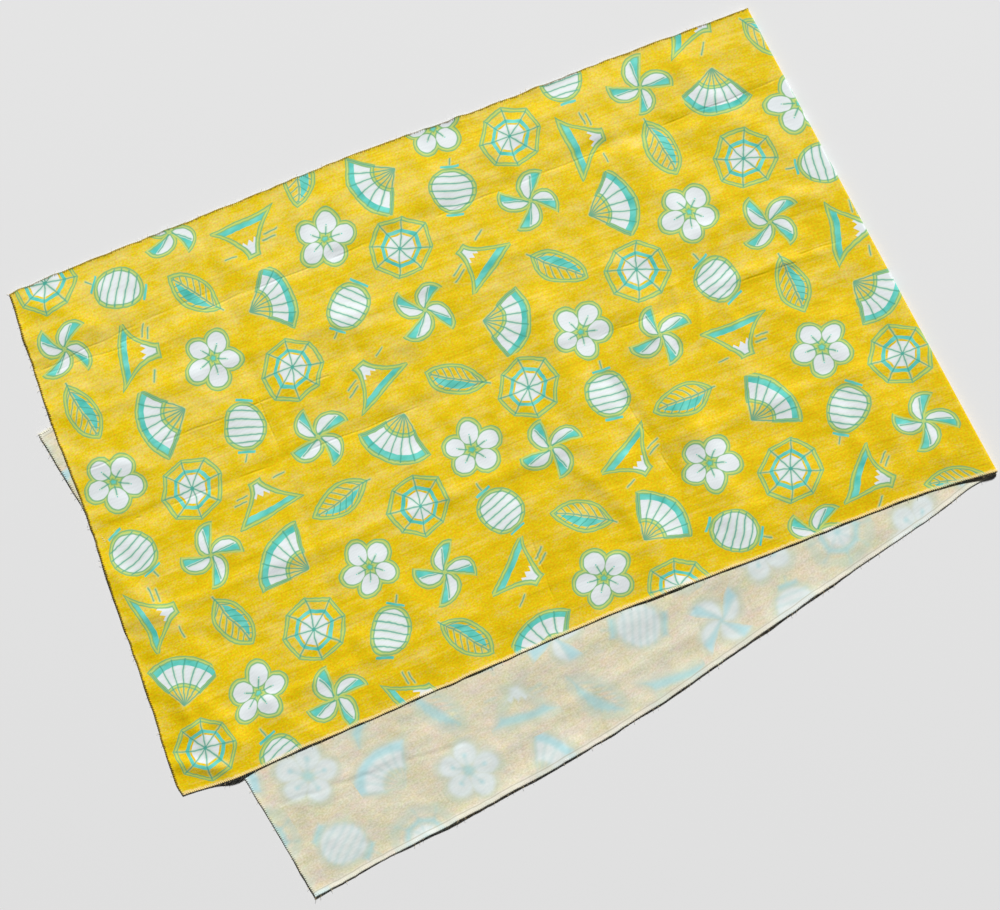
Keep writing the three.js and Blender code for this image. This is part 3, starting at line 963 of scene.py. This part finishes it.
def frayTree():
    # Short ends of yarn that stick out of the edge at odd angles
    tree, add, given = growthTree("frayedEdge", yarnEnds)
    curve = add("GeometryNodeMeshToCurve", given["Geometry"])
    curve = add("GeometryNodeResampleCurve", curve, at={"Length": given["Spacing"]}, mode="LENGTH")
    inward = add("GeometryNodeInputNamedAttribute", "inward", data_type="FLOAT_VECTOR")
    odd = add("FunctionNodeRandomValue", *yarnChance["tilt"], at={"Seed": 3}, data_type="FLOAT_VECTOR")
    way = add("VectorMath", odd, inward, operation="SUBTRACT")
    turn = add("FunctionNodeAlignRotationToVector", at={"Vector": way}, axis="X")
    least, most = yarnChance["size"]
    size = add("FunctionNodeRandomValue", at={2: least, 3: most, "Seed": 5}, output=1)
    kept = add("FunctionNodeRandomValue", at={"Probability": yarnChance["share"], "Seed": 8}, output=3,
               data_type="BOOLEAN")
    bend = [add("VectorMath", point, at={"Scale": given["Length"]}, operation="SCALE")
            for point in yarnChance["bend"]]
    yarn = add("GeometryNodeCurveQuadraticBezier", 4, *bend)
    profile = add("GeometryNodeCurvePrimitiveCircle", at={"Resolution": 3, "Radius": given["Radius"]})
    yarn = add("GeometryNodeCurveToMesh", yarn, profile, at={"Fill Caps": True})
    tufts = add("GeometryNodeInstanceOnPoints", curve, kept, yarn, at={"Rotation": turn, "Scale": size})
    finishTree(add, tufts, given["Material"])
    return tree


def grown(path, tree, values):
    # The mesh that the tree makes from the path, as a plain object in its place
    modifier = path.modifiers.new("grow", "NODES")
    modifier.node_group = tree
    for item in tree.interface.items_tree:
        if item.item_type == "SOCKET" and item.in_out == "INPUT" and item.name in values:
            modifier[item.identifier] = values[item.name]
    seen = path.evaluated_get(bpy.context.evaluated_depsgraph_get())
    mesh = bpy.data.meshes.new_from_object(seen)
    mesh.polygons.foreach_set("use_smooth", np.ones(len(mesh.polygons), bool))
    path.modifiers.remove(modifier)
    path.data = mesh
    return path


overcast, fray = overcastTree(), frayTree()
upperEdge, lowerEdge = (slice(0, halfWay + 1), 0, 1), (slice(halfWay, None), -1, -1)
upperHem = grown(edgePath("upper_hem", *upperEdge), overcast, {**stitches, "Material": printed})
lowerHem = grown(edgePath("lower_hem", *lowerEdge), overcast, {**stitches, "Material": plainSide})
upperFray = grown(edgePath("upper_fray", *upperEdge), fray, {**yarnEnds, "Material": thread})
lowerFray = grown(edgePath("lower_fray", *lowerEdge), fray, {**yarnEnds, "Material": thread})
trimmings = (upperHem, lowerHem, upperFray, lowerFray)
print("hems ready:", sum(len(piece.data.polygons) for piece in trimmings), "faces")

for piece, nodes, slot in (
    (upperHalf, ("upper_layer", "fold_bend"), "printed_cotton"),
    (lowerHalf, ("lower_layer",), "cotton_reverse"),
    *((piece, (), "hem_thread") for piece in trimmings),
):
    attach(piece, "root")
    if nodes:
        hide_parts(*nodes)


# Plain pale floor, a large soft light above the far side and a dim surround
studio = {
    "photoPixel": 0.61,  # mm on the cloth
    "photoWidth": 1000,
    "photoCentre": (-10.4, 3.4),
    "photoTurn": 21.3,  # degrees that the cloth's length rises to the right
    "lens": 85.0,
    "sensor": 36.0,
    "floorHalf": 4.0,  # this and the light in metres
    "floorDrop": 0.05,  # mm
    "surround": 0.025,
    "lightPlace": (2.5, 20.66, 18.74),
    "lightSize": 2.6,
    "lightPower": 11300.0,
}


def makeStudio():
    s = studio
    half, turn = s["floorHalf"], math.radians(-s["photoTurn"])
    floorMesh = bpy.data.meshes.new("floor")
    corners = [(-half, -half, 0), (half, -half, 0), (half, half, 0), (-half, half, 0)]
    floorMesh.from_pydata(corners, [], [(0, 1, 2, 3)])
    material, add = newMaterial("paleTable")
    finishMaterial(add, linear("#e2e2e2"), None, Roughness=0.7, **{"Specular IOR Level": 0.2})
    floorMesh.materials.append(material)
    light = bpy.data.lights.new("keyLight", "AREA")
    light.energy, light.size = s["lightPower"], s["lightSize"]
    camera = bpy.data.cameras.new("camera")
    camera.lens, camera.sensor_width = s["lens"], s["sensor"]
    floor, lamp, view = (bpy.data.objects.new(data.name, data) for data in (floorMesh, light, camera))
    for item in (floor, lamp, view):
        bpy.context.collection.objects.link(item)
    floor.location.z = -s["floorDrop"] * mm
    x, y, z = s["lightPlace"]
    lamp.location = (x * math.cos(turn) - y * math.sin(turn), x * math.sin(turn) + y * math.cos(turn), z)
    lamp.rotation_euler = (-lamp.location).to_track_quat("-Z", "Y").to_euler()
    width = s["photoPixel"] * s["photoWidth"] * mm
    x, y = s["photoCentre"]
    view.location = (x * mm, y * mm, width * s["lens"] / s["sensor"])
    view.rotation_euler = (0, 0, turn)
    world = bpy.data.worlds.new("studio")
    world.use_nodes = True
    world.node_tree.nodes.clear()
    add = partial(addNode, world.node_tree)
    add("OutputWorld", add("Background", (1, 1, 1, 1), s["surround"]))
    scene = bpy.context.scene
    scene.world, scene.camera = world, view
    scene.view_settings.view_transform = "Standard"


makeStudio()
print("studio ready")
